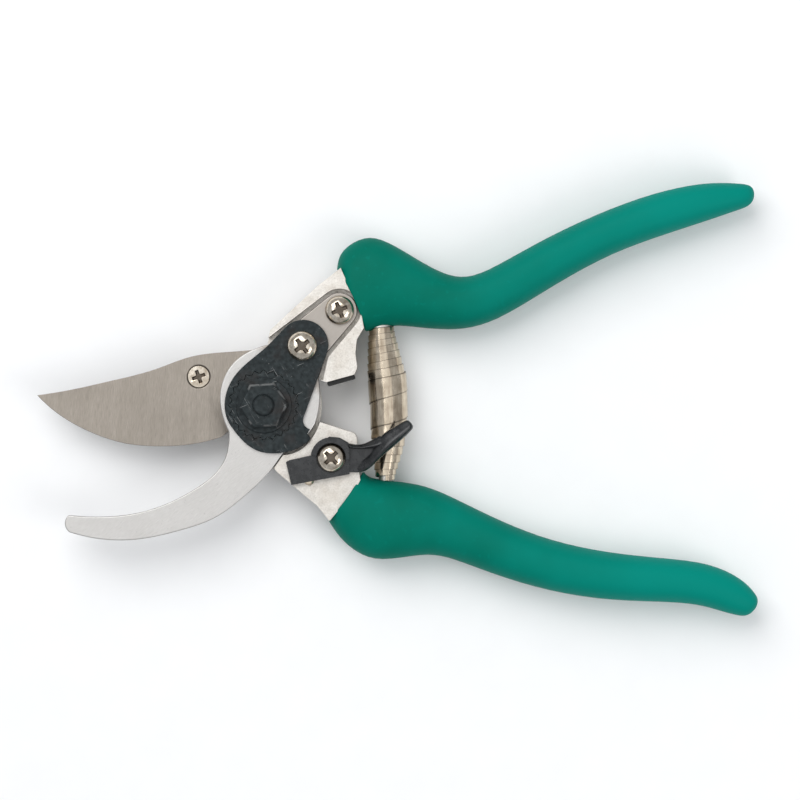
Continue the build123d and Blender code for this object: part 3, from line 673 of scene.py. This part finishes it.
def finger_bar(stations):
    """A closed bar of the finger's section, drawn through its stations."""
    bm = bmesh.new()
    for across, up in FINGER_SECTION:
        bm.verts.new((across, up, 0.0))
    draw_section(bm, [finger_place(*station) for station in stations])
    return bm


def web_plate():
    """The flat web that joins the finger, its wall and the lever's boss."""
    bm = bmesh.new()
    for corner in WEB:
        bm.verts.new(mm(*corner, WEB_UNDERSIDE))
    bmesh.ops.contextual_create(bm, geom=bm.verts)
    raised = bmesh.ops.extrude_face_region(bm, geom=list(bm.faces))["geom"]
    bmesh.ops.translate(bm, vec=UP * WEB_THICKNESS * MM,
                        verts=[item for item in raised if isinstance(item, bmesh.types.BMVert)])
    bmesh.ops.recalc_face_normals(bm, faces=bm.faces)
    return bm


soften(shown("catch_finger", finger_bar(FINGER), "black_lacquer", "catch"))
ease_edges(shown("catch_web", web_plate(), "black_lacquer", "catch"), WEB_EDGE_WIDTH)
soften(shown("catch_web_wall", finger_bar(WEB_WALL), "black_lacquer", "catch"))


# ---------------------------------------------------------------- plates and castings

# How wide each piece's edges are eased, in millimetres.
EASED_WIDTHS = {"upper_handle": 0.6, "lower_handle": 0.6, "counter_blade": 0.55,
                "cutting_blade": 0.15, "lock_plate": 0.25, "pivot_nut": 0.12}
LEVER_EASED, LEVER_CUT_AT = 0.35, 23.9
SCREW_EASED = 0.12
SCREWS = ("blade_screw", "lock_plate_screw", "counter_blade_screw", "catch_screw")
# The painted shade in a screw's cross: between which depths below the crown, and how far out.
SHADE_DEPTHS = (0.55, 2.0)
SHADE_REACH = 0.66


def screw_with_painted_shade(node):
    """A screw with its edges eased and painted shade in its cross recess."""
    piece = eased_copy(node, node + "_head", SCREW_EASED)
    low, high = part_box(node)
    middle = (low + high) / 2
    reach = (high.x - low.x) / 2 * SHADE_REACH
    shallow, deep = (high.z - depth * MM for depth in SHADE_DEPTHS)
    painted_shade = piece.data.attributes.new("painted_shade", "FLOAT", "POINT").data
    for vert, shade_amount in zip(piece.data.vertices, painted_shade):
        in_recess = deep < vert.co.z < shallow and (vert.co - middle).xy.length < reach
        shade_amount.value = 1.0 if in_recess else 0.0


for node, width in EASED_WIDTHS.items():
    eased_copy(node, node + "_body", width)
eased_copy("catch_lever", "catch_lever_block", LEVER_EASED, LEVER_CUT_AT)
for node in SCREWS:
    screw_with_painted_shade(node)

for node, cad in frame["nodes"].items():
    if not cad.hide_render:
        cad.data.materials.clear()
        cad.data.materials.append(FINISHES[SLOT_OF[node]])


# ---------------------------------------------------------------- stage, light, camera

def floor_finish():
    """A pale sweep with the faintest tooth."""
    f = Finish("pale_floor")
    tooth = f.noise(90.0, 3.0)
    f.feed("Base Color", f.mix(tooth, rgba(0.90, 0.90, 0.90), rgba(0.94, 0.94, 0.94)))
    f.feed("Roughness", f.span(tooth, 0.3, 0.7, 0.8, 0.95))
    return f.material


FLOOR_HALF_WIDTH = 3.0
FLOOR_GAP = 0.0002


def lay_floor():
    """The floor, a hair below the shears."""
    bm = bmesh.new()
    bmesh.ops.create_grid(bm, x_segments=2, y_segments=2, size=FLOOR_HALF_WIDTH)
    bmesh.ops.translate(bm, verts=bm.verts, vec=(0.0, 0.0, cad_low.z - FLOOR_GAP))
    mesh = bpy.data.meshes.new("floor")
    bm.to_mesh(mesh)
    bm.free()
    mesh.materials.append(floor_finish())
    placed("floor", mesh)


def area_light(name, place, size, power):
    """A square soft box, aimed at the pivot."""
    lamp = bpy.data.lights.new(name, "AREA")
    lamp.size = size
    lamp.energy = power
    holder = placed(name, lamp)
    holder.location = place
    holder.rotation_euler = (-Vector(place)).to_track_quat("-Z", "Y").to_euler()


def hang_camera():
    """A camera straight above the shears, upright with +Y."""
    middle = (cad_low + cad_high) / 2
    lens = bpy.data.cameras.new("camera")
    lens.lens = lens.sensor_width * CAMERA_HEIGHT / VIEW_WIDTH
    camera = placed("camera", lens)
    camera.location = (middle.x + VIEW_SHIFT[0], middle.y + VIEW_SHIFT[1],
                       cad_high.z / 2 + CAMERA_HEIGHT)
    bpy.context.scene.camera = camera


# Each soft box: its name, its place and its size in metres, and its power in watts.
SOFT_BOXES = (("overhead_box", (-0.05, 0.10, 1.7), 1.6, 4.2),
              ("key_box", (-0.30, 0.50, 0.85), 0.8, 6.2),
              ("fill_box", (0.55, -0.30, 0.60), 0.4, 1.5))
ROOM_COLOUR = rgba(0.93, 0.96, 1.0)
ROOM_STRENGTH = 0.50
# The width that the camera takes in at the handles' middle, its height above that, and how far
# it stands off the middle of the shears in X and Y.
VIEW_WIDTH = 0.224
CAMERA_HEIGHT = 1.2
VIEW_SHIFT = (0.0011, -0.0004)

lay_floor()
world = bpy.data.worlds.new("studio")
world.use_nodes = True
world.node_tree.nodes["Background"].inputs["Color"].default_value = ROOM_COLOUR
world.node_tree.nodes["Background"].inputs["Strength"].default_value = ROOM_STRENGTH
bpy.context.scene.world = world
for soft_box in SOFT_BOXES:
    area_light(*soft_box)
bpy.context.scene.view_settings.view_transform = "Standard"
hang_camera()
